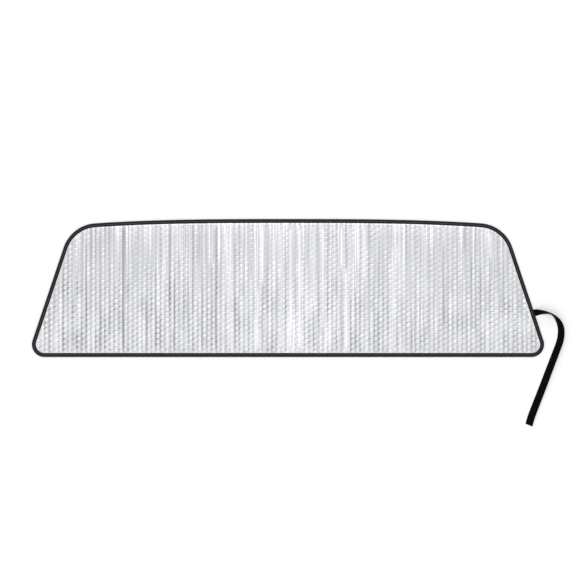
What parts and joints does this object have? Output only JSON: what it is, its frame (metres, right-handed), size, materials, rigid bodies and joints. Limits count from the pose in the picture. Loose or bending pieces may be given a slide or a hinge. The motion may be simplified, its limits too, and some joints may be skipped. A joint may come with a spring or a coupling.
{
  "type": "rear window sunshade",
  "caption": "Trapezoid rear window sunshade of silver bubble foil with a dark fabric edge binding and a tie strap sewn to one side, laid flat.",
  "frame": {"origin": "middle of the bound panel's outline, on its back face, which is the surface that it lies on", "axes": "+X across the window towards the strap's side, +Y up the window towards the shorter edge, +Z out of the silver face"},
  "size_m": [1.351, 0.5266, 0.0189],
  "materials": {
    "silver_foil": "bright metallised film over bubbles, creased",
    "binding_tape": "matt woven tape",
    "strap_webbing": "matt woven webbing"
  },
  "bodies": {
    "root": {"foil_panel": "silver_foil", "edge_binding": "binding_tape", "tie_strap": "strap_webbing"}
  },
  "joints": []
}
